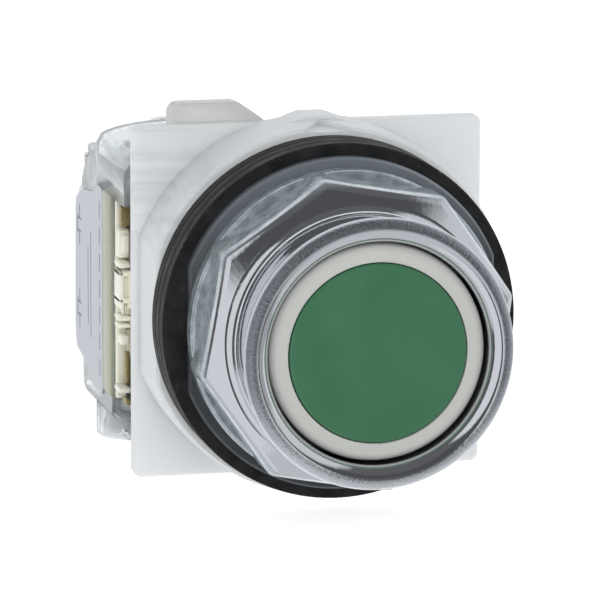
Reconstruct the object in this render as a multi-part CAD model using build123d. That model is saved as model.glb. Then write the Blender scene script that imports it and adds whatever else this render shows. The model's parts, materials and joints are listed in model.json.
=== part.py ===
from build123d import *

import os
from math import radians, tan

os.makedirs("parts", exist_ok=True)

# Heavy-duty 30 mm panel push button with a full-guard ring nut and one contact block.
# Millimetres. The button axis is Y: the button faces -Y, the contact block is behind at +Y.
# Z is up. The origin is on the button axis, on the body face that seats against the panel.

# ---------------------------------------------------------------- driving dimensions
plate_size = 44.0            # square rear plate of the operator body
plate_t = 2.0
plate_corner_r = 1.0
boss_r = 22.9                # round boss in front of the plate
boss_flat = 21.3             # half width over the boss's two side flats
boss_depth = 10.2            # seat face to plate front
hump_half_w = 5.4            # locating hump on top of the boss
hump_top_z = 23.4
hump_depth = 4.6
panel_hole_r = 15.25         # 30.5 mm panel hole
neck_r = 15.0                # threaded bushing, passes the panel hole
neck_front_y = -13.8
button_travel = 4.5

gasket_r = 21.9
gasket_t = 2.1
gasket_count = 3
washer_r = 20.4
washer_flat = 18.9
washer_t = 1.5
washer_front_y = -(gasket_count * gasket_t + washer_t)

nut_flange_r = 19.2          # round base of the ring nut
nut_flange_t = 2.3
octagon_r = 19.65            # over the octagon's corners, as a radius
octagon_front_y = -15.8      # at its corners
octagon_turn = 12.4          # how the nut is turned when it is tight, degrees
octagon_edge_r = 1.4         # rounding of the octagon's front edges
shoulder_slope = 18.0        # degrees, the conical face between the octagon and the neck
guard_neck_r = 15.3
guard_lip_r = 16.35
guard_bore_r = 13.4
guard_lip_y = -25.8          # where the lip is widest
guard_front_y = -26.8
guard_front_r = 15.1         # foremost circle of the lip
guard_bevel_y = -25.5        # where the lip's inner bevel meets the bore

cap_r = 13.1
cap_front_y = -25.3
cap_rear_y = -18.9
insert_r = 10.75
insert_front_y = -25.5
insert_t = 3.4
cap_floor_t = 1.6            # under the insert

cap_bore_r = 12.05           # the cap is pushed over the plunger's head
sleeve_r = 11.4              # plunger sleeve, runs in the bushing
post_r = 6.0                 # plunger post, runs in the bushing's web
web_front_y = 3.4
web_rear_y = 5.0
running_gap = 0.06           # radial clearance of a sliding fit
seal_y = -8.0                # middle of the plunger's seal groove
seal_groove_depth = 1.3
body_bore_r = 16.4           # rear opening of the body
circlip_r = 16.9
push_plate_r = 14.0
push_plate_t = 1.6
push_plate_y = web_rear_y + 0.05
block_screw_r = 1.6
block_screw_grip = 4.7       # how far a block screw goes into the body

block_x0 = -22.0             # contact block, left and right faces
block_x1 = -0.4
block_z = -1.4               # height of the contact block's middle
block_y0 = boss_depth + plate_t
block_y1 = 43.0              # rear of the housing
block_half_h = 16.4
cap_block_y1 = 48.2          # rear of the rear cap
cap_block_half_h = 11.0
wall = 1.2
chamber_half_h = 11.5
column_x = {"nc": -16.6, "no": -5.8}
terminal_z = 15.0            # terminal screws, from the block's middle
terminal_floor_y = 27.0
block_screw_z = 16.0         # block screws, from the block's middle
hood_y0 = 15.8
hood_y1 = 34.4
hood_side_h = 19.7           # hood's height at its sides, from the block's middle
hood_crown = 1.6
hood_slope = 6.0             # degrees, the hood rises towards its rear
hood_corner_r = 1.2
ridge_half_w = 2.8           # ridge over each block screw
ridge_h = 18.5
ear_x0, ear_x1 = -16.8, -5.0  # grip ear in front of the upper hood
ear_top_z = 24.2
ear_t = 3.4
label_t = 0.15

strip_t = 0.8                # brass strips
tip_t = 0.6                  # silver contact tips
tip_r = 1.6
tip_z = 8.6                  # contact tips, from the block's middle
contact_gap = 0.1            # a closed contact, drawn just clear
nc_bridge_y = 20.1
no_bridge_y = 27.0
no_open_gap = 3.2
carrier_front_y = 15.0
carrier_rear_y = 34.0
carrier_nose_r = 2.2
frame_half_h = 4.0           # carrier's window around each bridge
nc_window = (-19.1, -13.8, nc_bridge_y - 1.0, 26.3)
no_window = (-8.6, -3.3, 21.4, no_bridge_y + strip_t + 0.05)
pad_half_w = 2.4             # terminal pad under the screw
pad_gap = 0.05               # pad to terminal floor
clamp_y0, clamp_y1 = 28.1, 29.5
screw_head_y0, screw_head_y1 = 29.6, 31.9

block_xc = (block_x0 + block_x1) / 2


# ---------------------------------------------------------------- helpers
def cyl(radius, y0, y1, x=0.0, z=0.0):
    """Cylinder along Y from y0 to y1."""
    return Pos(x, (y0 + y1) / 2, z) * Cylinder(radius, abs(y1 - y0), rotation=(90, 0, 0))


def tube(outer, inner, y0, y1, x=0.0, z=0.0):
    return cyl(outer, y0, y1, x, z) - cyl(inner, y0 - 1, y1 + 1, x, z)


def slab(x0, x1, y0, y1, z0, z1):
    """Box between two corners."""
    size = (abs(x1 - x0), abs(y1 - y0), abs(z1 - z0))
    return Pos((x0 + x1) / 2, (y0 + y1) / 2, (z0 + z1) / 2) * Box(*size)


def lathe(*points):
    """Closed outline of (radius, y) points, turned about the Y axis."""
    outline = make_face(Polyline(*points, close=True))
    return revolve(outline, Axis.Y, 360)


def cone(r0, r1, y0, y1, x=0.0, z=0.0):
    """Cone along Y, radius r0 at y0 and r1 at y1."""
    return Pos(x, 0, z) * lathe((0, y0), (r0, y0), (r1, y1), (0, y1))


def edges_at(shape, y, radius):
    """Circular edges of one radius at one height on the Y axis."""
    circles = shape.edges().filter_by(GeomType.CIRCLE)
    return [e for e in circles if abs(e.radius - radius) < 1e-3 and abs(e.center().Y - y) < 1e-3]


def coil_spring(mean_r, wire_r, y0, y1, turns, x=0.0, z=0.0):
    """Helical spring between two flat seats."""
    height = y1 - y0 - 2 * wire_r
    path = Helix(pitch=height / turns, height=height, radius=mean_r)
    section = Plane(origin=path @ 0, z_dir=path % 0) * Circle(wire_r)
    coil = sweep(section, path=path, is_frenet=True)
    return Pos(x, y0 + wire_r, z) * Rot(-90, 0, 0) * coil


def mirrored(shape):
    """The same shape below the contact block's middle."""
    return Pos(0, 0, 2 * block_z) * mirror(shape, Plane.XY)


def save(name, shape):
    export_step(shape, f"parts/{name}.step")


# ---------------------------------------------------------------- operator: body and bushing
def operator_body():
    boss = cyl(boss_r, 0, boss_depth) & slab(-boss_flat, boss_flat, 0, boss_depth, -boss_r, boss_r)
    boss = chamfer(boss.faces().sort_by(Axis.Y)[0].outer_wire().edges(), 0.4)
    slope_half_w, root_z = 1.6, boss_r - 4.9
    hump_outline = Polyline(
        (-hump_half_w - 1.1, root_z), (-hump_half_w, hump_top_z - 1.4), (-slope_half_w, hump_top_z),
        (slope_half_w, hump_top_z), (hump_half_w, hump_top_z - 1.4), (hump_half_w + 1.1, root_z), close=True,
    )
    hump = extrude(Plane.XZ.offset(-boss_depth) * make_face(hump_outline), hump_depth)
    hump = fillet(hump.edges().filter_by(Axis.Y).group_by(Axis.Z)[-1], 1.5)
    plate = slab(-plate_size / 2, plate_size / 2, boss_depth, block_y0, -plate_size / 2, plate_size / 2)
    plate = fillet(plate.edges().filter_by(Axis.Y), plate_corner_r)
    plate = fillet(plate.faces().sort_by(Axis.Y)[0].edges(), 0.3)
    body = boss + hump + plate

    index_mark = make_face(Polyline((0, 5.2), (-3.6, -1), (3.6, -1), close=True))
    body -= Pos(0, 0, boss_r - 0.6) * extrude(index_mark, 3)
    body -= cyl(neck_r + 0.05, -1, 4)
    body -= cyl(body_bore_r, 3, block_y0 + 1)
    body -= cyl(circlip_r + 0.1, 6, 7.3)
    for x in (block_xc, -block_xc):
        for z in (block_z + block_screw_z, block_z - block_screw_z):
            body -= cyl(block_screw_r, block_y0 - block_screw_grip - 0.1, block_y0 + 1, x, z)
    return body


def threaded_bushing():
    bore_r = sleeve_r + running_gap
    return lathe(
        (bore_r, neck_front_y),
        (neck_r - 0.8, neck_front_y),
        (neck_r, neck_front_y + 0.8),
        (neck_r, 3),
        (body_bore_r - 0.05, 3),
        (body_bore_r - 0.05, 6),
        (push_plate_r + 0.4, 6),
        (push_plate_r + 0.4, web_rear_y),
        (post_r + running_gap, web_rear_y),
        (post_r + running_gap, web_front_y),
        (bore_r, web_front_y),
    )


def bushing_circlip():
    clip = tube(circlip_r, body_bore_r - 1.5, 6.05, 7.2)
    return clip - slab(-2.5, 2.5, 5, 8, 0, -body_bore_r - 2)


# ---------------------------------------------------------------- operator: moving button
def button_cap():
    pocket_y = insert_front_y + insert_t
    cap = lathe(
        (0, pocket_y),
        (insert_r + 0.1, pocket_y),
        (insert_r + 0.1, cap_front_y),
        (cap_r, cap_front_y),
        (cap_r, cap_rear_y),
        (cap_bore_r, cap_rear_y),
        (cap_bore_r, pocket_y + cap_floor_t),
        (0, pocket_y + cap_floor_t),
    )
    cap = fillet(edges_at(cap, cap_front_y, cap_r), 1.2)
    return fillet(edges_at(cap, cap_front_y, insert_r + 0.1), 0.15)


def button_insert():
    insert = cyl(insert_r, insert_front_y, insert_front_y + insert_t)
    return fillet(edges_at(insert, insert_front_y, insert_r), 0.35)


def plunger():
    head_y = insert_front_y + insert_t + cap_floor_t
    head_r = cap_bore_r - 0.05
    body = lathe(
        (0, head_y),
        (head_r, head_y),
        (head_r, cap_rear_y),
        (sleeve_r, cap_rear_y),
        (sleeve_r, seal_y - 0.9),
        (sleeve_r - seal_groove_depth, seal_y - 0.9),
        (sleeve_r - seal_groove_depth, seal_y + 0.9),
        (sleeve_r, seal_y + 0.9),
        (sleeve_r, -1.2),
        (9.2, -1.2),
        (9.2, -17.4),
        (post_r, -17.4),
        (post_r, push_plate_y),
        (0, push_plate_y),
    )
    return body - cyl(1.5, -3, web_rear_y + 1)


def plunger_seal():
    section_r = 0.64
    return Pos(0, seal_y, 0) * Rot(90, 0, 0) * Torus(sleeve_r - seal_groove_depth + section_r, section_r)


def push_plate():
    rear = push_plate_y + push_plate_t
    return cyl(push_plate_r, push_plate_y, rear) - cone(1.6, 3.2, push_plate_y, rear)


def push_plate_screw():
    rear = push_plate_y + push_plate_t
    screw = cone(1.55, 3.15, push_plate_y, rear) + cyl(1.5, -2.9, push_plate_y)
    return screw - slab(-2.2, 2.2, rear - 0.6, rear + 1, -0.4, 0.4)


# ---------------------------------------------------------------- operator: front hardware
def gasket(index):
    front = -gasket_t * (index + 1)
    ring = tube(gasket_r, panel_hole_r, front, front + gasket_t)
    for y in (front, front + gasket_t):
        ring = fillet(edges_at(ring, y, gasket_r), 0.25)
    return ring


def trim_washer():
    rear = washer_front_y + washer_t
    washer = cyl(washer_r, washer_front_y, rear)
    washer &= slab(-washer_flat, washer_flat, washer_front_y, rear, -washer_r, washer_r)
    washer = chamfer(washer.faces().sort_by(Axis.Y)[0].edges(), 0.3)
    return washer - cyl(panel_hole_r, washer_front_y - 1, rear + 1)


def guard_nut():
    base_y = washer_front_y
    flange_y = base_y - nut_flange_t
    flange = cyl(nut_flange_r, flange_y, base_y)
    flange = fillet(edges_at(flange, flange_y, nut_flange_r), 0.5)

    shoulder_r = guard_neck_r + 1.3
    slope = tan(radians(shoulder_slope))
    shoulder_y = octagon_front_y - (octagon_r - shoulder_r) * slope
    octagon = Rot(90, 0, 0) * Rot(0, 0, octagon_turn) * RegularPolygon(octagon_r, 8)
    root_y = flange_y + 0.5
    prism = Pos(0, root_y, 0) * extrude(octagon, root_y - shoulder_y)
    prism &= cone(shoulder_r, shoulder_r + (base_y - shoulder_y) / slope, shoulder_y, base_y)
    rim = [edge for edge in prism.edges() if shoulder_y + 0.2 < edge.center().Y < octagon_front_y + 0.1]
    prism = fillet(rim + list(prism.edges().filter_by(Axis.Y)), octagon_edge_r)

    root = (shoulder_r, shoulder_y + 0.3)
    shoulder = (shoulder_r, shoulder_y)
    neck_rear = (guard_neck_r, shoulder_y - 1.3)
    neck_front = (guard_neck_r, guard_lip_y + 4.0)
    lip = (guard_lip_r, guard_lip_y)
    foremost = (guard_front_r, guard_front_y)
    bevel = (guard_bore_r, guard_bevel_y)
    with BuildLine() as outline:
        Polyline((0, guard_bevel_y), (0, shoulder_y + 0.3), root, shoulder)
        ThreePointArc(shoulder, (guard_neck_r + 0.35, shoulder_y - 0.45), neck_rear)
        Line(neck_rear, neck_front)
        Spline(neck_front, (guard_neck_r + 0.45, guard_lip_y + 2.0), lip, tangents=((0, -1), (0.1, -1)))
        ThreePointArc(lip, (guard_lip_r - 0.35, guard_front_y + 0.35), foremost)
        ThreePointArc(foremost, (guard_bore_r + 0.7, guard_front_y + 0.3), bevel)
        Line(bevel, (0, guard_bevel_y))
    guard = revolve(make_face(outline.line), Axis.Y, 360)
    nut = flange + prism + guard
    nut -= cyl(guard_bore_r, guard_front_y - 1, base_y + 1)
    return nut - cyl(neck_r, neck_front_y - 0.5, base_y + 1)


# ---------------------------------------------------------------- contact block: clear mouldings
def column_cut(half_w, y0, y1, z0, z1):
    """The same cut in both terminal columns, above and below the middle."""
    cuts = []
    for x in column_x.values():
        upper = slab(x - half_w, x + half_w, y0, y1, block_z + z0, block_z + z1)
        cuts += [upper, mirrored(upper)]
    return cuts


def terminal_places():
    for x in column_x.values():
        for side in (1, -1):
            yield x, block_z + side * terminal_z


def block_housing():
    x0 = block_x0 + wall
    body = slab(x0, block_x1, block_y0, block_y1, block_z - block_half_h, block_z + block_half_h)
    rear_edges = body.faces().sort_by(Axis.Y)[-1].edges().filter_by(Axis.X)
    body = fillet(rear_edges, 2.5)
    ear_base_z = block_z + block_half_h - 2
    ear_outline = Polyline(
        (ear_x0, ear_base_z), (ear_x0, ear_top_z - 0.8), (ear_x0 + 0.8, ear_top_z),
        (ear_x1 - 3.3, ear_top_z), (ear_x1, ear_top_z - 2.3), (ear_x1, ear_base_z), close=True,
    )
    body += extrude(Plane.XZ.offset(-block_y0 - ear_t) * make_face(ear_outline), ear_t)
    for side in (1, -1):
        ridge = slab(
            block_xc - ridge_half_w, block_xc + ridge_half_w, block_y0, block_y1,
            block_z + side * (block_half_h - 1), block_z + side * ridge_h,
        )
        body += fillet(ridge.edges().filter_by(Axis.Y), 0.9)

    body -= slab(
        x0 - 1, block_x1 - wall, block_y0 + wall, block_y1 - 1.4,
        block_z - chamber_half_h, block_z + chamber_half_h,
    )
    body -= cyl(carrier_nose_r + running_gap, block_y0 - 1, block_y0 + 2, block_xc, block_z)
    body -= cyl(4.6, block_y1 - 2, block_y1 + 1, block_xc, block_z)
    body -= column_cut(2.95, terminal_floor_y, block_y1 + 1, chamber_half_h + 0.6, block_half_h + 1)
    body -= column_cut(2.6, terminal_floor_y, terminal_floor_y + 1, chamber_half_h - 1, chamber_half_h + 1)
    for x, z in terminal_places():
        body -= cyl(1.65, terminal_floor_y - 4.6, terminal_floor_y + 1, x, z)
    for side in (1, -1):
        body -= cyl(1.85, block_y0 - 1, block_y1 + 1, block_xc, block_z + side * block_screw_z)
    return body


def block_side_cover():
    cover = slab(
        block_x0, block_x0 + wall, block_y0, block_y1, block_z - block_half_h, block_z + block_half_h
    )
    cover = fillet(cover.faces().sort_by(Axis.Y)[-1].edges().filter_by(Axis.X), 2.5)
    return cover


def block_label():
    return slab(block_x0 - label_t, block_x0, block_y1 - 14.5, block_y1 - 1.4, block_z - 13.5, block_z + 9.5)


def block_rear_cap():
    cap = slab(
        block_x0, block_x1, block_y1, cap_block_y1,
        block_z - cap_block_half_h, block_z + cap_block_half_h,
    )
    cap = fillet(cap.faces().sort_by(Axis.Y)[-1].edges(), 2.2)
    cavity = slab(
        block_x0 + wall, block_x1 - wall, block_y1 - 1, cap_block_y1 - 1.2,
        block_z - cap_block_half_h + wall, block_z + cap_block_half_h - wall,
    )
    return cap - cavity


def terminal_hood():
    """Upper hood: a crowned roof over both terminal recesses, open underneath and at the rear."""
    half_w = (block_x1 - block_x0) / 2
    crown_r = (half_w**2 + hood_crown**2) / (2 * hood_crown)
    top_z = block_z + hood_side_h + hood_crown
    roof = cyl(crown_r, -40, 40, z=-crown_r)
    roof = Pos(block_xc, hood_y1, top_z) * Rot(hood_slope, 0, 0) * roof
    blank = slab(block_x0, block_x1, hood_y0, hood_y1, block_z + block_half_h, top_z + 1)
    hood = blank & roof
    roof_edges = hood.faces().sort_by(Axis.Z)[-1].edges().sort_by(Axis.X)
    hood = fillet([roof_edges[0], roof_edges[-1]], hood_corner_r)
    for x in column_x.values():
        hood -= slab(
            x - 3.4, x + 3.4, hood_y0 + wall, hood_y1 + 1, block_z + block_half_h - 1, block_z + 18.2
        )
        hood -= slab(x - 1.8, x + 1.8, 27.6, 31.2, block_z + 17, block_z + 24)
    hood -= slab(
        block_xc - ridge_half_w - 0.05, block_xc + ridge_half_w + 0.05, hood_y0 - 1, hood_y1 + 1,
        block_z + block_half_h - 1, block_z + ridge_h + 0.05,
    )
    return hood


# ---------------------------------------------------------------- contact block: moving parts
def contact_carrier():
    z = block_z
    spine_half_w = 1.4
    carrier = slab(
        block_xc - spine_half_w, block_xc + spine_half_w, carrier_front_y, carrier_rear_y, z - 7, z + 7
    )
    for x0, x1, y0, y1 in (nc_window, no_window):
        outer_x = sorted((x0 - 1.1, x1 + 0.9), key=lambda x: abs(x - block_xc))[-1]
        frame = slab(block_xc, outer_x, y0 - 1.6, y1 + 1.9, z - frame_half_h, z + frame_half_h)
        carrier += frame - slab(x0, x1, y0, y1, z - frame_half_h - 1, z + frame_half_h + 1)
    carrier += slab(
        block_xc - 2 * spine_half_w, block_xc + 2 * spine_half_w, carrier_rear_y - 2, carrier_rear_y,
        z - frame_half_h - 0.5, z + frame_half_h + 0.5,
    )
    nose_front_y = push_plate_y + push_plate_t + 0.1
    carrier += cyl(carrier_nose_r, nose_front_y, carrier_front_y + 0.5, block_xc, z)
    return carrier + cyl(2.6, carrier_rear_y - 0.5, 41, block_xc, z)


def bridge(x, y, tip_side):
    """Moving bridge with a silver tip at each end, on its front (-1) or rear (+1) face."""
    strip = slab(x - 2.0, x + 2.0, y, y + strip_t, block_z - 10.4, block_z + 10.4)
    face_y = y if tip_side < 0 else y + strip_t
    for side in (1, -1):
        strip += cyl(tip_r, face_y, face_y + tip_side * tip_t, x, block_z + side * tip_z)
    return strip


def stationary_contact(x, tip_y, arm_side):
    """Upper fixed contact: tip, arm, riser and terminal pad. The arm is behind its tip (arm_side)."""
    arm_y = tip_y + arm_side * strip_t
    y_low, y_high = sorted((tip_y, arm_y))
    contact = slab(x - 2.2, x + 2.2, y_low, y_high, block_z + 6.8, block_z + 11.4)
    pad_y0 = terminal_floor_y + pad_gap
    pad_y1 = pad_y0 + strip_t
    riser = sorted((y_low, y_high, pad_y0, pad_y1))
    contact += slab(x - 2.2, x + 2.2, riser[0], riser[-1], block_z + 10.6, block_z + 11.4)
    contact += slab(x - pad_half_w, x + pad_half_w, pad_y0, pad_y1, block_z + 10.6, block_z + 17.9)
    contact += cyl(tip_r, tip_y, tip_y - arm_side * tip_t, x, block_z + tip_z)
    return contact - cyl(1.8, terminal_floor_y - 1, terminal_floor_y + 2, x, block_z + terminal_z)


def side_flag(x):
    """Vertical brass wall that joins the fixed break contact's arm to its riser."""
    return slab(x - 3.0, x - 2.2, 18.0, terminal_floor_y - 0.4, block_z + 8.2, block_z + 11.4)


def terminal_screws():
    screws = []
    for x, z in terminal_places():
        screw = cyl(1.6, terminal_floor_y - 4.4, screw_head_y0, x, z)
        screw += cyl(2.7, screw_head_y0, screw_head_y1, x, z)
        screw = fillet(edges_at(screw, screw_head_y1, 2.7), 0.5)
        slot = slab(x - 3, x + 3, screw_head_y1 - 0.9, screw_head_y1 + 1, z - 0.4, z + 0.4)
        screws.append(screw - slot)
    return Compound(screws)


def wire_clamps():
    clamps = []
    for x in column_x.values():
        clamp = slab(x - 2.6, x + 2.6, clamp_y0, clamp_y1, block_z + 12.5, block_z + 17.9)
        clamp = chamfer(clamp.edges().filter_by(Axis.X), 0.2)
        clamp -= cyl(1.7, clamp_y0 - 1, clamp_y1 + 1, x, block_z + terminal_z)
        clamps += [clamp, mirrored(clamp)]
    return Compound(clamps)


def block_screws():
    screws = []
    for side in (1, -1):
        z = block_z + side * block_screw_z
        head_y0 = block_y1 + 0.1
        head_y1 = head_y0 + 2.2
        screw = cyl(block_screw_r, block_y0 - block_screw_grip, head_y0, block_xc, z)
        screw += cyl(2.9, head_y0, head_y1, block_xc, z)
        screw = fillet(edges_at(screw, head_y1, 2.9), 0.6)
        screws.append(screw - slab(block_xc - 3, block_xc + 3, head_y1 - 0.8, head_y1 + 1, z - 0.4, z + 0.4))
    return Compound(screws)


# ---------------------------------------------------------------- write every node
save("operator_body", operator_body())
save("threaded_bushing", threaded_bushing())
save("bushing_circlip", bushing_circlip())
save("button_cap", button_cap())
save("button_insert", button_insert())
save("plunger", plunger())
save("plunger_seal", plunger_seal())
save("return_spring", coil_spring(7.7, 0.5, -17.4, web_front_y, 6))
save("push_plate", push_plate())
save("push_plate_screw", push_plate_screw())
for number in range(gasket_count):
    save(f"gasket_{number + 1}", gasket(number))
save("trim_washer", trim_washer())
save("guard_nut", guard_nut())

save("block_housing", block_housing())
save("block_side_cover", block_side_cover())
save("block_label", block_label())
save("block_rear_cap", block_rear_cap())
save("terminal_hood_top", terminal_hood())
save("terminal_hood_bottom", mirrored(terminal_hood()))
save("contact_carrier", contact_carrier())
save("carrier_spring", coil_spring(3.5, 0.3, carrier_rear_y, cap_block_y1 - 1.2, 8, block_xc, block_z))

save("nc_bridge", bridge(column_x["nc"], nc_bridge_y, -1))
save("no_bridge", bridge(column_x["no"], no_bridge_y, 1))
nc_seats = (nc_bridge_y + strip_t, nc_window[3])
no_seats = (no_window[2], no_bridge_y)
save("nc_contact_spring", coil_spring(1.7, 0.22, *nc_seats, 5, column_x["nc"], block_z))
save("no_contact_spring", coil_spring(1.7, 0.22, *no_seats, 5, column_x["no"], block_z))

nc_tip_y = nc_bridge_y - 2 * tip_t - contact_gap
no_tip_y = no_bridge_y + strip_t + 2 * tip_t + no_open_gap
nc_contact = stationary_contact(column_x["nc"], nc_tip_y, -1) + side_flag(column_x["nc"])
no_contact = stationary_contact(column_x["no"], no_tip_y, 1)
save("nc_contact_top", nc_contact)
save("nc_contact_bottom", mirrored(nc_contact))
save("no_contact_top", no_contact)
save("no_contact_bottom", mirrored(no_contact))
save("terminal_screws", terminal_screws())
save("wire_clamps", wire_clamps())
save("block_screws", block_screws())
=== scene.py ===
import json
import math

import bmesh
import bpy
from mathutils import Matrix, Vector


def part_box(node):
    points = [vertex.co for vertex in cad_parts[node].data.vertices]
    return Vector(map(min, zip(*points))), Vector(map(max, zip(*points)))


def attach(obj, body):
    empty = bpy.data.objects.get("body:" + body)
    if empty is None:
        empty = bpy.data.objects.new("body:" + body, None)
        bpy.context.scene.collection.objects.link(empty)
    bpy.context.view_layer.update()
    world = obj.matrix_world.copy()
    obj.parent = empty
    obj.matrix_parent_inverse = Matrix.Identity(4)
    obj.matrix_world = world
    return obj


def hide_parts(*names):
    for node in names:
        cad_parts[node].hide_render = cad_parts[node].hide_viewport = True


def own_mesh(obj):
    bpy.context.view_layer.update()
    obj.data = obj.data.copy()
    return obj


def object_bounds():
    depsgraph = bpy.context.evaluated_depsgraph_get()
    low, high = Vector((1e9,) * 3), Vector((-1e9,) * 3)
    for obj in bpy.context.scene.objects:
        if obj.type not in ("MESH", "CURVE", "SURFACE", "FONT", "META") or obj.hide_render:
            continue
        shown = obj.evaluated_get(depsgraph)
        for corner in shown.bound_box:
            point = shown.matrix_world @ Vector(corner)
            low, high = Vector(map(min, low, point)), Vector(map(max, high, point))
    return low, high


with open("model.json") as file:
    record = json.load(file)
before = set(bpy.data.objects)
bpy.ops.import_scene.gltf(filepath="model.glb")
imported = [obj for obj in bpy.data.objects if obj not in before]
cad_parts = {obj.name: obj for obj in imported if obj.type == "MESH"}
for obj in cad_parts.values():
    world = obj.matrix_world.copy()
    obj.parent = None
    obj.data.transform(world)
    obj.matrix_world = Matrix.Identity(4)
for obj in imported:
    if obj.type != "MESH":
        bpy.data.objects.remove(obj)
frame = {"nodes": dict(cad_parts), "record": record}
cad_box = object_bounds()
nodes = frame["nodes"]

# The button axis is Y and the button faces -Y. Blender works in metres: a number of millimetres times MM.
MM = 0.001


# ---------------------------------------------------------------- node material helpers
# Sockets of the Mix node when it mixes colours.
MIX_FACTOR, MIX_FIRST, MIX_SECOND, MIX_RESULT = 0, 6, 7, 2
materials = {}


def new_material(name):
    """A node material with a Principled shader, which is kept in materials under its name."""
    material = bpy.data.materials.new(name)
    material.use_nodes = True
    materials[name] = material
    return material


def shader_inputs(material):
    return material.node_tree.nodes["Principled BSDF"].inputs


def set_shader(material, values):
    """Sets constant values on the Principled shader's sockets."""
    for socket, value in values.items():
        shader_inputs(material)[socket].default_value = value


def add(material, kind, **values):
    """A new node. A value goes to the input of that name, or else to the node's own setting."""
    node = material.node_tree.nodes.new(kind)
    for key, value in values.items():
        if key in node.inputs.keys():
            node.inputs[key].default_value = value
        else:
            setattr(node, key, value)
    return node


def link(material, output, target):
    material.node_tree.links.new(output, target)


def object_coords(material, scale=(1, 1, 1)):
    coords = add(material, "ShaderNodeTexCoord")
    mapping = add(material, "ShaderNodeMapping", Scale=scale)
    link(material, coords.outputs["Object"], mapping.inputs["Vector"])
    return mapping.outputs["Vector"]


def coordinates(material):
    """The point's x, y and z in the shared frame, as sockets."""
    split = add(material, "ShaderNodeSeparateXYZ")
    link(material, object_coords(material), split.inputs[0])
    return split.outputs


def noise(material, feature, detail=3.0, roughness=0.55, stretch=(1, 1, 1)):
    """Noise with features of about that size, in metres. A stretch below 1 draws them out along that axis."""
    texture = add(material, "ShaderNodeTexNoise", Detail=detail, Roughness=roughness, Scale=1 / feature)
    link(material, object_coords(material, stretch), texture.inputs["Vector"])
    return texture.outputs["Fac"]


def math_node(material, operation, first, second=None):
    node = add(material, "ShaderNodeMath", operation=operation)
    for socket, value in zip(node.inputs, (first, second)):
        if value is None:
            continue
        if isinstance(value, (int, float)):
            socket.default_value = value
        else:
            link(material, value, socket)
    return node.outputs[0]


def remap(material, value, low, high, to_low, to_high):
    """Maps low..high to to_low..to_high and holds the end values outside."""
    node = add(material, "ShaderNodeMapRange")
    for key, number in (("From Min", low), ("From Max", high), ("To Min", to_low), ("To Max", to_high)):
        node.inputs[key].default_value = number
    link(material, value, node.inputs["Value"])
    return node.outputs["Result"]


def mix_color(material, factor, first, second):
    node = add(material, "ShaderNodeMix", data_type="RGBA")
    for socket, value in ((node.inputs[MIX_FIRST], first), (node.inputs[MIX_SECOND], second)):
        if isinstance(value, (tuple, list)):
            socket.default_value = (*value, 1)
        else:
            link(material, value, socket)
    link(material, factor, node.inputs[MIX_FACTOR])
    return node.outputs[MIX_RESULT]


def mix_over_base(material, factor, color):
    """Mixes a colour over the one that the shader has so far."""
    base = shader_inputs(material)["Base Color"]
    link(material, mix_color(material, factor, base.links[0].from_socket, color), base)


def add_bump(material, height, distance, after=None):
    """Bump on the shader's normal, on top of another bump if there is one."""
    bump = add(material, "ShaderNodeBump", Strength=1.0, Distance=distance)
    link(material, height, bump.inputs["Height"])
    if after is not None:
        link(material, after.outputs["Normal"], bump.inputs["Normal"])
    link(material, bump.outputs["Normal"], shader_inputs(material)["Normal"])
    return bump


def distance_from_axis(material, x, z):
    squares = [math_node(material, "MULTIPLY", value, value) for value in (x, z)]
    return math_node(material, "SQRT", math_node(material, "ADD", *squares))


def band(material, value, low, high, soft):
    """1 between low and high, 0 outside, with soft ends."""
    rise = remap(material, value, low - soft, low + soft, 0, 1)
    fall = remap(material, value, high - soft, high + soft, 1, 0)
    return math_node(material, "MULTIPLY", rise, fall)


# ---------------------------------------------------------------- materials
def moulded_plastic(name, color, tone=0.06, rough=0.38, patch=6 * MM):
    """Injection moulded plastic: a fine grain, slow colour drift and uneven gloss."""
    grain, grain_height = 0.12 * MM, 0.002 * MM
    material = new_material(name)
    darker = tuple(c * (1 - tone) for c in color)
    lighter = tuple(min(1, c * (1 + tone)) for c in color)
    drift = noise(material, patch, detail=2)
    link(material, mix_color(material, drift, darker, lighter), shader_inputs(material)["Base Color"])
    gloss = remap(material, noise(material, patch / 2), 0.3, 0.7, rough - 0.05, rough + 0.06)
    link(material, gloss, shader_inputs(material)["Roughness"])
    add_bump(material, noise(material, grain, detail=2), grain_height)
    return material


def green_plastic():
    material = moulded_plastic("green_plastic", (0.038, 0.146, 0.071), tone=0.12, rough=0.40)
    set_shader(material, {"Coat Weight": 0.12, "Coat Roughness": 0.25})


def cap_plastic():
    material = moulded_plastic("cap_plastic", (0.48, 0.49, 0.465), tone=0.03, rough=0.32)
    set_shader(material, {"Coat Weight": 0.15})


def body_plastic():
    """Translucent polyamide, with faint darker bands painted at the plate's upper left as painted shade of
    the block that is behind it.
    """
    material = moulded_plastic("body_plastic", (0.765, 0.78, 0.79), tone=0.04, rough=0.42, patch=12 * MM)
    set_shader(material, {
        "Transmission Weight": 0.12, "IOR": 1.45,
        "Subsurface Weight": 0.5, "Subsurface Radius": (3 * MM, 3 * MM, 3 * MM), "Subsurface Scale": 1.0,
    })
    x, _, z = coordinates(material)
    # Painted shade: faint darker bands at the upper left corner, where the block stands behind the plate.
    at_left = remap(material, x, -11 * MM, -17 * MM, 0, 1)
    at_top = remap(material, z, 5 * MM, 11 * MM, 0, 1)
    corner = math_node(material, "MULTIPLY", at_left, at_top)
    streaks = noise(material, 1.6 * MM, detail=2, stretch=(0.06, 0.2, 1))
    bands = math_node(material, "MULTIPLY", remap(material, streaks, 0.42, 0.62, 0, 0.5), corner)
    mix_over_base(material, bands, (0.50, 0.57, 0.60))


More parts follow.
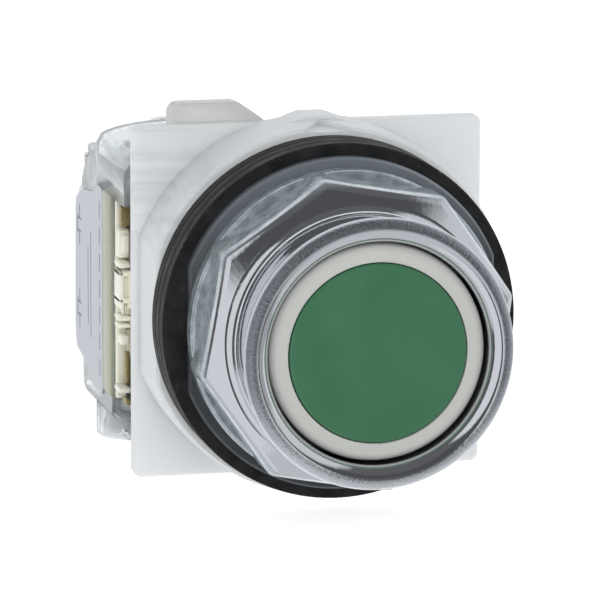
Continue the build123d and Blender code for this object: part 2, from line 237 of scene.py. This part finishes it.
def clear_plastic(name, tint=(0.93, 0.96, 0.97), rough=0.03, ior=1.30, wave_height=0.05 * MM, clarity=0.86):
    """Clear moulded polycarbonate: a wavy surface and faint haze, so that edges catch the light."""
    wave_length = 2.2 * MM
    material = new_material(name)
    set_shader(material, {"Transmission Weight": clarity, "IOR": ior})
    haze = noise(material, 4 * MM)
    darker = tuple(c * 0.93 for c in tint)
    link(material, mix_color(material, haze, darker, tint), shader_inputs(material)["Base Color"])
    gloss = remap(material, haze, 0.3, 0.7, rough, rough + 0.09)
    link(material, gloss, shader_inputs(material)["Roughness"])
    add_bump(material, noise(material, wave_length, detail=2), wave_height)


def black_rubber():
    """Moulded rubber: a fine grain, dust specks and uneven gloss."""
    grain, grain_height = 0.3 * MM, 0.02 * MM
    material = new_material("black_rubber")
    set_shader(material, {"Specular IOR Level": 0.12})
    speck = remap(material, noise(material, 0.35 * MM, detail=1), 0.70, 0.78, 0, 1)
    drift = remap(material, noise(material, 3 * MM), 0.35, 0.65, 0, 1)
    base = mix_color(material, drift, (0.012, 0.012, 0.013), (0.024, 0.024, 0.025))
    dusty = mix_color(material, speck, base, (0.10, 0.10, 0.10))
    link(material, dusty, shader_inputs(material)["Base Color"])
    link(material, remap(material, drift, 0, 1, 0.48, 0.66), shader_inputs(material)["Roughness"])
    add_bump(material, noise(material, grain, detail=4), grain_height)


def lip_streaks(material, x, y, z, radius):
    """Fine noise that is drawn out across the nut's lip, as its casting marks are."""
    lip_middle_radius, streak, stretch = 15.6 * MM, 0.34 * MM, 0.3
    around = math_node(material, "MULTIPLY", math_node(material, "ARCTAN2", z, x), lip_middle_radius)
    polar = add(material, "ShaderNodeCombineXYZ")
    link(material, around, polar.inputs[0])
    link(material, math_node(material, "MULTIPLY", radius, stretch), polar.inputs[1])
    link(material, math_node(material, "MULTIPLY", y, stretch), polar.inputs[2])
    texture = add(material, "ShaderNodeTexNoise", Detail=3.0, Roughness=0.7, Scale=1 / streak)
    link(material, polar.outputs[0], texture.inputs["Vector"])
    return texture.outputs["Fac"]


def chrome():
    """Chrome over a cast nut: orange peel everywhere, mottled rear facets and a rough ring on the lip, which
    has a slightly darker tone of its own and painted shade that makes it much darker towards the top.
    """
    peel, peel_height = 1.2 * MM, 0.012 * MM
    cast, cast_height = 0.28 * MM, 0.11 * MM
    bright, lip_dark = (0.70, 0.715, 0.75), (0.27, 0.28, 0.31)
    facet_dark, facet_light = (0.24, 0.29, 0.31), (0.56, 0.62, 0.65)
    material = new_material("chrome")
    x, y, z = coordinates(material)
    radius = distance_from_axis(material, x, z)

    rear = remap(material, y, -16.2 * MM, -15.4 * MM, 0, 1)
    ring = band(material, radius, 14.95 * MM, 16.3 * MM, 0.15 * MM)
    lip = math_node(material, "MULTIPLY", ring, remap(material, y, -25.2 * MM, -25.7 * MM, 0, 1))
    # Painted shade on the lip: its darker colour is weak at the bottom and strong towards the top.
    lip_shade_by_height = remap(material, z, -12 * MM, -3 * MM, 0.15, 0.88)

    mottle = remap(material, noise(material, 1.6 * MM, detail=5, roughness=0.7), 0.3, 0.7, 0, 1)
    dull = mix_color(material, mottle, facet_dark, facet_light)
    front = mix_color(material, math_node(material, "MULTIPLY", lip, lip_shade_by_height), bright, lip_dark)
    link(material, mix_color(material, rear, front, dull), shader_inputs(material)["Base Color"])
    link(material, remap(material, rear, 0, 1, 1.0, 0.55), shader_inputs(material)["Metallic"])
    front_rough = remap(material, mottle, 0, 1, 0.05, 0.11)
    rear_rough = remap(material, rear, 0, 1, 0, 0.16)
    link(material, math_node(material, "ADD", front_rough, rear_rough), shader_inputs(material)["Roughness"])

    peel_bump = add_bump(material, noise(material, peel), peel_height)
    streaks = lip_streaks(material, x, y, z, radius)
    marks = math_node(material, "ADD", streaks, noise(material, cast, roughness=0.7))
    add_bump(material, math_node(material, "MULTIPLY", marks, lip), cast_height, after=peel_bump)


def plated_metal(name, color, rough, metallic=1.0):
    """Plated steel or brass: fine grain, uneven gloss and a slight colour drift."""
    grain_size, grain_height, gloss_spread = 0.16 * MM, 0.004 * MM, 0.08
    material = new_material(name)
    set_shader(material, {"Metallic": metallic})
    darker = tuple(c * 0.86 for c in color)
    drift = noise(material, 3 * MM)
    link(material, mix_color(material, drift, darker, color), shader_inputs(material)["Base Color"])
    grain = noise(material, grain_size, detail=4)
    gloss = remap(material, grain, 0.3, 0.7, rough - gloss_spread, rough + gloss_spread)
    link(material, gloss, shader_inputs(material)["Roughness"])
    add_bump(material, grain, grain_height)
    return material


def washer_steel():
    """Zinc plating on the trim washer, bluish at the top, with painted shade that makes it nearly black at
    the bottom.
    """
    material = plated_metal("washer_steel", (0.26, 0.29, 0.32), 0.42, metallic=0.5)
    z = coordinates(material)[2]
    # Painted shade: below a z of 19 mm the plating colour gives way to near black, fully so below 4 mm.
    below = remap(material, z, 4 * MM, 19 * MM, 1, 0)
    painted_shade = mix_color(material, noise(material, 2 * MM), (0.05, 0.055, 0.062), (0.09, 0.097, 0.105))
    mix_over_base(material, below, painted_shade)


def label_film():
    material = new_material("label_film")
    fibre = noise(material, 0.6 * MM, detail=4)
    paper = mix_color(material, fibre, (0.44, 0.46, 0.50), (0.52, 0.54, 0.58))
    link(material, paper, shader_inputs(material)["Base Color"])
    link(material, remap(material, fibre, 0.3, 0.7, 0.3, 0.45), shader_inputs(material)["Roughness"])
    add_bump(material, fibre, 0.004 * MM)


green_plastic()
cap_plastic()
body_plastic()
moulded_plastic("plunger_plastic", (0.62, 0.62, 0.57), rough=0.4)
moulded_plastic("carrier_plastic", (0.92, 0.90, 0.78), rough=0.45)
clear_plastic("clear_plastic")
clear_plastic("clear_ear", (0.96, 0.96, 0.94), rough=0.15, ior=1.2, wave_height=0.01 * MM, clarity=0.45)
clear_plastic("strip_plastic", (0.60, 0.60, 0.46), rough=0.2, ior=1.2, wave_height=0.02 * MM, clarity=0.35)
moulded_plastic("label_ink", (0.16, 0.18, 0.24), rough=0.5)
label_film()
black_rubber()
chrome()
washer_steel()
plated_metal("plated_steel", (0.55, 0.56, 0.57), 0.30)
plated_metal("spring_steel", (0.58, 0.58, 0.60), 0.25)
plated_metal("screw_steel", (0.66, 0.67, 0.69), 0.22)
plated_metal("contact_brass", (0.42, 0.34, 0.17), 0.3, metallic=0.8)
for part in frame["record"]["subparts"]:
    node = nodes[part["node"]]
    node.data.materials.clear()
    node.data.materials.append(materials[part["material_slot"]])


# ---------------------------------------------------------------- mesh helpers
def piece(name, bm, slot, finish=None, body="operator", smooth=True, stands_for=()):
    """A finished mesh that rides on a body and may stand for CAD nodes.

    Its material is the slot's, unless finish names another.
    """
    mesh = bpy.data.meshes.new(name)
    bmesh.ops.recalc_face_normals(bm, faces=bm.faces)
    bm.to_mesh(mesh)
    bm.free()
    mesh.polygons.foreach_set("use_smooth", [smooth] * len(mesh.polygons))
    mesh.materials.append(materials[finish or slot])
    thing = bpy.data.objects.new(name, mesh)
    bpy.context.scene.collection.objects.link(thing)
    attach(thing, body)
    if stands_for:
        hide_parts(*stands_for)
    return thing


def add_box(bm, low, high, rounding=0.0, segments=3):
    """A box between two corners in mm, with rounded edges."""
    size = [h - l for l, h in zip(low, high)]
    middle = [(h + l) / 2 for l, h in zip(low, high)]
    place = Matrix.Translation(Vector(middle) * MM) @ Matrix.Diagonal((*[v * MM for v in size], 1))
    made = bmesh.ops.create_cube(bm, size=1, matrix=place)
    if rounding:
        edges = {edge for vert in made["verts"] for edge in vert.link_edges}
        bmesh.ops.bevel(
            bm, geom=list(edges), offset=rounding * MM, segments=segments, affect="EDGES", profile=0.5,
        )


def close_between(bm, first, second):
    """Faces between two closed rings of as many points."""
    for index in range(len(first)):
        after = (index + 1) % len(first)
        bm.faces.new((first[index], first[after], second[after], second[index]))


def add_plate(bm, rings):
    """A plate between two outlines of points in mm."""
    first, second = [[bm.verts.new(Vector(point) * MM) for point in ring] for ring in rings]
    bm.faces.new(first)
    bm.faces.new(second)
    close_between(bm, first, second)


def rounded_outline(points, radius, steps=5):
    """The same flat outline with its corners rounded."""
    result = []
    for index, corner in enumerate(points):
        corner = Vector(corner)
        before, after = Vector(points[index - 1]), Vector(points[(index + 1) % len(points)])
        reach = min(radius, (before - corner).length / 2.05, (after - corner).length / 2.05)
        start = corner + (before - corner).normalized() * reach
        stop = corner + (after - corner).normalized() * reach
        for step in range(steps + 1):
            t = step / steps
            result.append(tuple((1 - t) ** 2 * start + 2 * t * (1 - t) * corner + t * t * stop))
    return result


# ---------------------------------------------------------------- contact block, in mm
block_low, block_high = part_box("block_housing")
carrier_low, carrier_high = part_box("contact_carrier")
BLOCK_Z = (carrier_low.z + carrier_high.z) / 2 / MM
BLOCK_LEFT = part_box("block_side_cover")[0].x / MM
BLOCK_RIGHT = block_high.x / MM
BLOCK_MIDDLE = (BLOCK_LEFT + BLOCK_RIGHT) / 2
PLATE_REAR = block_low.y / MM
GAP_BEHIND_PLATE = 0.02
CLEAR_WALL = 1.1


def thicken(thing):
    """Turns a clear piece's surface into a wall, towards the inside."""
    shell = thing.modifiers.new("wall", "SOLIDIFY")
    shell.thickness = CLEAR_WALL * MM
    shell.offset = -1


def hood(name, side, foot, height, slope, crown, corner):
    """Clear terminal hood above (1) or below (-1) the block: a crowned roof with side walls down to its foot.

    The roof rises by crown at its middle and by slope towards the rear, and its edges drop by corner.
    """
    across, along = 36, 36
    front, rear = PLATE_REAR + 3.7, PLATE_REAR + 22.0
    half_w, half_l = (BLOCK_RIGHT - BLOCK_LEFT) / 2, (rear - front) / 2
    bm = bmesh.new()
    grid = []
    for i in range(across + 1):
        s = 2 * i / across - 1
        edge_s = (1 - abs(s) ** 7) ** (1 / 3)
        row = []
        for j in range(along + 1):
            t = 2 * j / along - 1
            edge_t = (1 - max(0, t) ** 9) ** (1 / 3)
            rise = height + crown * (1 - s * s) + slope * t - (2 - edge_s - edge_t) * corner
            place = (BLOCK_MIDDLE + s * half_w, (front + rear) / 2 + t * half_l, BLOCK_Z + side * rise)
            row.append(bm.verts.new(Vector(place) * MM))
        grid.append(row)
    for row, after in zip(grid, grid[1:]):
        for j in range(along):
            bm.faces.new((row[j], after[j], after[j + 1], row[j + 1]))
    rim = [row[0] for row in grid] + grid[-1][1:] + [row[-1] for row in grid[-2::-1]] + grid[0][-2:0:-1]
    foot_z = (BLOCK_Z + side * foot) * MM
    close_between(bm, rim, [bm.verts.new((vert.co.x, vert.co.y, foot_z)) for vert in rim])
    thicken(piece(f"hood_{name}", bm, "clear_plastic", stands_for=(f"terminal_hood_{name}",)))


def housing():
    """Clear housing: a frame of walls that is open at the left, and at the rear round the carrier's stem."""
    left, right, front = BLOCK_LEFT + 0.3, BLOCK_RIGHT, PLATE_REAR + GAP_BEHIND_PLATE
    # Each wall's inner and outer distance from the block's middle.
    roof, shelf, rib = (15.2, 16.4), (11.4, 12.4), (11.6, 16.2)
    rib_xs, rib_half_t = (-21.0, -13.2, -9.2, -2.4), 0.5
    right_wall_t, right_half_h = 1.2, 16.0
    rear_ys, rear_half_h, stem_room = (41.6, 43.0), 14.8, 5.0
    bm = bmesh.new()

    def add_wall(side, xs, ys, heights, rounding=0.0):
        low, high = sorted(BLOCK_Z + side * height for height in heights)
        add_box(bm, (xs[0], ys[0], low), (xs[1], ys[1], high), rounding)

    for side in (1, -1):
        add_wall(side, (left, right), (front, 41.5), roof, 0.5)
        add_wall(side, (left + 1.5, right - 1), (front + 1, 26.8), shelf, 0.3)
        for x in rib_xs:
            add_wall(side, (x - rib_half_t, x + rib_half_t), (26.5, 42.0), rib, 0.3)
    add_wall(1, (right - right_wall_t, right), (front, 42.5), (-right_half_h, right_half_h), 0.5)
    stem_xs = (BLOCK_MIDDLE - stem_room, BLOCK_MIDDLE + stem_room)
    for xs in ((left, stem_xs[0]), (stem_xs[1], right)):
        add_wall(1, xs, rear_ys, (-rear_half_h, rear_half_h))
    for side in (1, -1):
        add_wall(side, stem_xs, rear_ys, (stem_room, rear_half_h))
    piece("housing", bm, "clear_plastic", stands_for=("block_housing",))


def grip_ear():
    """Clear ear on top of the housing, just behind the plate."""
    ear_t = 3.4
    outline = ((-16.8, 14), (-16.8, 23.4), (-16.0, 24.2), (-8.3, 24.2), (-5.0, 21.9), (-5.0, 14))
    corners = rounded_outline(outline, 0.8)
    ys = (PLATE_REAR + GAP_BEHIND_PLATE, PLATE_REAR + ear_t)
    bm = bmesh.new()
    add_plate(bm, [[(x, y, z) for x, z in corners] for y in ys])
    piece("grip_ear", bm, "clear_plastic", "clear_ear")


def side_plate(bm, outline, radius, x0, x1):
    """A plate between x0 and x1 with an outline of (y, z) points."""
    corners = rounded_outline(outline, radius)
    add_plate(bm, [[(x, y, z) for y, z in corners] for x in (x0, x1)])


def side_wall():
    """Left wall: clear shell behind the label."""
    outline = (
        (24.2, -15.9), (41.5, -15.9), (43.6, -14.6), (43.9, 11.0), (41.4, 13.9), (37.0, 16.3), (24.2, 16.3),
    )
    bm = bmesh.new()
    side_plate(bm, [(y, BLOCK_Z + h) for y, h in outline], 1.6, BLOCK_LEFT + 0.05, BLOCK_LEFT + 1.2)
    piece("side_wall", bm, "clear_plastic", stands_for=("block_side_cover",), smooth=False)


def edge_strip():
    """Yellowish edge moulding in front of the label."""
    bm = bmesh.new()
    add_box(bm, (BLOCK_LEFT - 0.12, 24.4, -14.9), (BLOCK_LEFT + 1.6, 30.0, 11.0), 0.35)
    piece("edge_strip", bm, "clear_plastic", "strip_plastic")


def label():
    """Paper-thin label that reaches from the side wall over the rear cap."""
    outline = (
        (29.6, -15.6), (36.0, -15.6), (41.0, -13.4), (46.6, -12.6), (47.4, -10.0), (47.0, 6.8), (43.4, 8.6),
        (35.6, 9.6), (33.2, 11.0), (29.6, 11.0),
    )
    bm = bmesh.new()
    side_plate(bm, outline, 0.9, BLOCK_LEFT - 0.13, BLOCK_LEFT + 0.02)
    piece("label", bm, "label_film", stands_for=("block_label",), smooth=False)


def label_marks():
    """Two contact symbols, a row of dashes and two thin lines, with no lettering."""
    x0, x1 = BLOCK_LEFT - 0.15, BLOCK_LEFT - 0.1
    # Each symbol's strokes as y0, z0, y1, z1, with z from the symbol's middle.
    symbol = (
        (44.2, -2.6, 44.5, -0.8), (44.2, 0.8, 44.5, 2.6), (43.2, -0.9, 45.6, -0.7), (43.2, 0.7, 45.6, 0.9),
        (45.5, -1.2, 45.8, 1.2),
    )
    bm = bmesh.new()
    for z in (3.8, -7.2):
        for y0, z0, y1, z1 in symbol:
            add_box(bm, (x0, y0, z + z0), (x1, y1, z + z1))
    dash_count, dash_pitch, dash_half, lowest_dash = 7, 3.4, 1.1, -12.4
    for index in range(dash_count):
        z = lowest_dash + index * dash_pitch
        add_box(bm, (x0, 31.0, z - dash_half), (x1, 31.35, z + dash_half))
    for y, low, high in ((36.8, -9.6, 4.2), (38.6, -8.2, 2.0)):
        add_box(bm, (x0, y, low), (x1, y + 0.25, high))
    piece("label_marks", bm, "label_film", "label_ink", smooth=False)


def rear_cap():
    """Clear cap with rounded back edges, open in front so that the carrier can move into it."""
    rounding = 2.3
    low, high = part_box("block_rear_cap")
    bm = bmesh.new()
    add_box(bm, [value / MM for value in low], [value / MM for value in high])
    edges = [edge for edge in bm.edges if max(vert.co.y for vert in edge.verts) > low.y + MM]
    bmesh.ops.bevel(bm, geom=edges, offset=rounding * MM, segments=5, affect="EDGES", profile=0.5)
    open_front = [face for face in bm.faces if max(vert.co.y for vert in face.verts) < low.y + 0.1 * MM]
    bmesh.ops.delete(bm, geom=open_front, context="FACES_ONLY")
    thicken(piece("rear_cap", bm, "clear_plastic", stands_for=("block_rear_cap",)))


# Mechanism behind the open left side, clear of the sliding carrier: x0, x1, y0, y1, z0, z1 and rounding.
MECHANISM = {
    "carrier_plastic": (
        (-21.7, -20.4, 22.6, 23.4, -14.6, 10.6, 0.2),
        (-21.8, -20.4, 20.6, 22.6, 3.7, 7.3, 0.25),
        (-21.3, -20.5, 20.2, 20.6, 4.3, 6.7, 0.15),
        (-21.9, -20.4, 19.9, 23.0, 2.5, 3.3, 0.25),
        (-21.9, -21.3, 19.6, 23.0, -2.6, 2.2, 0.2),
        (-21.4, -20.5, 20.3, 22.8, -1.8, 2.0, 0.1),
        (-21.9, -20.4, 19.6, 23.0, 1.5, 2.2, 0.2),
        (-21.9, -20.4, 19.6, 23.0, -1.9, -1.2, 0.2),
        (-20.7, -20.35, 19.6, 23.0, -2.6, 2.2, 0.1),
        (-21.9, -20.4, 19.8, 23.0, -4.2, -3.6, 0.2),
        (-21.9, -20.4, 20.4, 23.0, -5.2, -4.7, 0.2),
        (-21.6, -20.4, 20.4, 23.0, -7.4, -6.2, 0.3),
        (-21.9, -20.4, 19.8, 23.0, -13.4, -12.7, 0.2),
        (-20.4, -18.75, 22.4, 26.8, 3.0, 6.7, 0.2),
        (-20.4, -18.75, 22.4, 26.8, -9.5, -5.8, 0.2),
    ),
    "contact_brass": (
        (-21.6, -20.4, 20.2, 21.2, 7.8, 10.3, 0.15),
        (-21.3, -20.4, 19.4, 22.0, 10.9, 11.6, 0.2),
        (-21.0, -20.4, 20.4, 21.4, -12.3, -8.2, 0.15),
        (-21.2, -20.4, 19.2, 21.8, -14.9, -14.1, 0.25),
    ),
}


def mechanism():
    """The cream and brass parts behind the open left side, with a few thin ribs."""
    rib_count, rib_x0, rib_pitch, rib_t = 4, -21.3, 0.25, 0.14
    for finish, boxes in MECHANISM.items():
        bm = bmesh.new()
        for x0, x1, y0, y1, z0, z1, rounding in boxes:
            add_box(bm, (x0, y0, z0), (x1, y1, z1), rounding, 2)
        if finish == "carrier_plastic":
            for index in range(rib_count):
                x = rib_x0 + rib_pitch * index
                add_box(bm, (x, 20.4, -3.5), (x + rib_t, 23.0, -1.9), 0.04, 1)
        piece(f"side_{finish}", bm, finish)


def screw_domes():
    """The rounded heads that glint inside the clear hoods."""
    radius = 2.5
    bm = bmesh.new()
    for z in (13.6, -16.6):
        place = Matrix.Translation(Vector((-17.9, 27.2, z)) * MM)
        bmesh.ops.create_uvsphere(bm, u_segments=28, v_segments=16, radius=radius * MM, matrix=place)
    piece("screw_domes", bm, "screw_steel")


# ---------------------------------------------------------------- springs
def coil(name, node, body, turns, wire, squash=None):
    """A wire spring in the node's box, closed and flat at both ends.

    wire is the wire's radius in mm. squash is a joint, the y in metres that stays, and what is kept; of these
    only whether squash is given is used, and then the spring gets a mesh of its own.
    """
    per_turn, around = 28, 8
    wire *= MM
    closed_pitch = 2.02 * wire
    low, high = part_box(node)
    x, z = (low.x + high.x) / 2, (low.z + high.z) / 2
    radius = (high.x - low.x) / 2 - wire
    start, stop = low.y + wire, high.y - wire
    total = (turns + 2) * per_turn
    centre = []
    for step in range(total + 1):
        turn = step / per_turn
        closed_turns = min(turn, 1) + max(0, turn - 1 - turns)
        rise = min(1, max(0, (turn - 1) / turns))
        y = start + closed_turns * closed_pitch + rise * (stop - start - 2 * closed_pitch)
        angle = 2 * math.pi * turn
        centre.append(Vector((x + radius * math.cos(angle), y, z + radius * math.sin(angle))))
    bm = bmesh.new()
    rings = []
    for index, point in enumerate(centre):
        ahead = centre[min(index + 1, total)] - centre[max(index - 1, 0)]
        side = ahead.cross(Vector((0, 1, 0))).normalized()
        up = side.cross(ahead).normalized()
        angles = [2 * math.pi * k / around for k in range(around)]
        rings.append([bm.verts.new(point + (side * math.cos(a) + up * math.sin(a)) * wire) for a in angles])
    for first, second in zip(rings, rings[1:]):
        close_between(bm, first, second)
    bm.faces.new(rings[0])
    bm.faces.new(rings[-1])
    spring = piece(name, bm, "spring_steel", body=body, stands_for=(node,))
    if squash:
        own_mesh(spring)


hood("top", 1, foot=12.4, height=18.6, slope=0.9, crown=1.3, corner=1.3)
hood("bottom", -1, foot=15.7, height=19.1, slope=1.8, crown=0.5, corner=0.7)
housing()
grip_ear()
side_wall()
edge_strip()
label()
label_marks()
rear_cap()
mechanism()
screw_domes()
coil("return_coil", "return_spring", "operator", 5, 0.5, ("button_press", 0.0034, 0.776))
coil("carrier_coil", "carrier_spring", "operator", 7, 0.3, ("carrier_slide", 0.047, 0.654))
coil("no_contact_coil", "no_contact_spring", "no_bridge", 4, 0.22, ("no_bridge_slide", 0.027, 0.72))
coil("nc_contact_coil", "nc_contact_spring", "nc_bridge", 4, 0.22)


# ---------------------------------------------------------------- floor, light and camera
def make_floor():
    size, gap_below = 3.0, 1.5 * MM
    mesh = bpy.data.meshes.new("floor")
    corners = [(-size, -size, 0), (size, -size, 0), (size, size, 0), (-size, size, 0)]
    mesh.from_pydata(corners, [], [(0, 1, 2, 3)])
    floor = bpy.data.objects.new("floor", mesh)
    floor.location.z = cad_box[0].z - gap_below
    floor.visible_glossy = False
    bpy.context.scene.collection.objects.link(floor)
    material = new_material("floor")
    set_shader(material, {
        "Base Color": (0.4, 0.4, 0.4, 1), "Roughness": 0.9,
        "Emission Color": (1, 1, 1, 1), "Emission Strength": 0.85,
    })
    mesh.materials.append(material)


def make_front_fill():
    """A soft lamp in front and above that points at the origin and doesn't show in gloss."""
    light = bpy.data.lights.new("front_fill", "AREA")
    light.shape = "RECTANGLE"
    light.size, light.size_y = 0.9, 0.7
    light.energy = 10
    lamp = bpy.data.objects.new("front_fill", light)
    lamp.location = (-0.1, -1.2, 0.75)
    lamp.rotation_euler = (-lamp.location).to_track_quat("-Z", "Y").to_euler()
    lamp.visible_glossy = False
    bpy.context.scene.collection.objects.link(lamp)


# Each panel is (brightness, bands): a band is a direction with the two distances along it between which
# the panel comes up to its full brightness. The panels are compared and the brightest wins.
LEFT = (0.86, (((-1, 0, -0.3), 0.22, 0.36), ((0, -1, 0), 0.26, 0.42)))
RIGHT = (0.45, (((1, 0, 0), 0.50, 0.70),))
UPPER_RIGHT = (0.75, (((1, 0, 0), 0.45, 0.62), ((0, 0, 1), -0.12, 0.12)))
FAR_RIGHT = (0.85, (((1, 0, 0), 0.88, 0.96),))
BELOW = (0.68, (((0, 0, -1), 0.30, 0.52),))
OVERHEAD = (0.14, (((0, 0, 1), 0.30, 0.60),))
BEHIND = (1.10, (((0, 1, 0), 0.0, 0.35),))
STUDIO_PANELS = (LEFT, RIGHT, UPPER_RIGHT, FAR_RIGHT, BELOW, OVERHEAD, BEHIND)
DARKEST = 0.10


def make_world():
    """A plain studio: soft light panels all round, brightest behind, at the left and at the right."""
    world = bpy.data.worlds.new("studio")
    bpy.context.scene.world = world
    world.use_nodes = True
    tree = world.node_tree
    background = tree.nodes["Background"]
    coords = tree.nodes.new("ShaderNodeTexCoord")

    def combine(operation, first, second):
        node = tree.nodes.new("ShaderNodeMath")
        node.operation = operation
        for socket, value in zip(node.inputs, (first, second)):
            if isinstance(value, float):
                socket.default_value = value
            else:
                tree.links.new(value, socket)
        return node.outputs[0]

    brightest = DARKEST
    for brightness, bands in STUDIO_PANELS:
        panel = brightness
        for direction, start, stop in bands:
            along = tree.nodes.new("ShaderNodeVectorMath")
            along.operation = "DOT_PRODUCT"
            along.inputs[1].default_value = direction
            tree.links.new(coords.outputs["Generated"], along.inputs[0])
            ramp = tree.nodes.new("ShaderNodeMapRange")
            ramp.interpolation_type = "SMOOTHSTEP"
            ramp.inputs["From Min"].default_value = start
            ramp.inputs["From Max"].default_value = stop
            tree.links.new(along.outputs["Value"], ramp.inputs["Value"])
            panel = combine("MULTIPLY", ramp.outputs["Result"], panel)
        brightest = combine("MAXIMUM", panel, brightest)
    tree.links.new(brightest, background.inputs["Strength"])
    background.inputs["Color"].default_value = (0.96, 0.98, 1.0, 1)


CAMERA_PLACE = Vector((-149.24, -610.43, 126.20)) * MM
CAMERA_FORWARD = Vector((0.22787, 0.95403, -0.19469))
CAMERA_UP = Vector((0.04148, 0.19026, 0.98086))


def make_camera():
    camera = bpy.data.cameras.new("camera")
    camera.sensor_width = 36
    camera.lens = 315.1
    camera.clip_start, camera.clip_end = 0.01, 20
    holder = bpy.data.objects.new("camera", camera)
    right = CAMERA_FORWARD.cross(CAMERA_UP).normalized()
    up = right.cross(CAMERA_FORWARD).normalized()
    turn = Matrix((right, up, -CAMERA_FORWARD.normalized())).transposed()
    holder.matrix_world = Matrix.Translation(CAMERA_PLACE) @ turn.to_4x4()
    bpy.context.scene.collection.objects.link(holder)
    bpy.context.scene.camera = holder


make_floor()
make_world()
make_front_fill()
make_camera()
bpy.context.scene.view_settings.view_transform = "Standard"
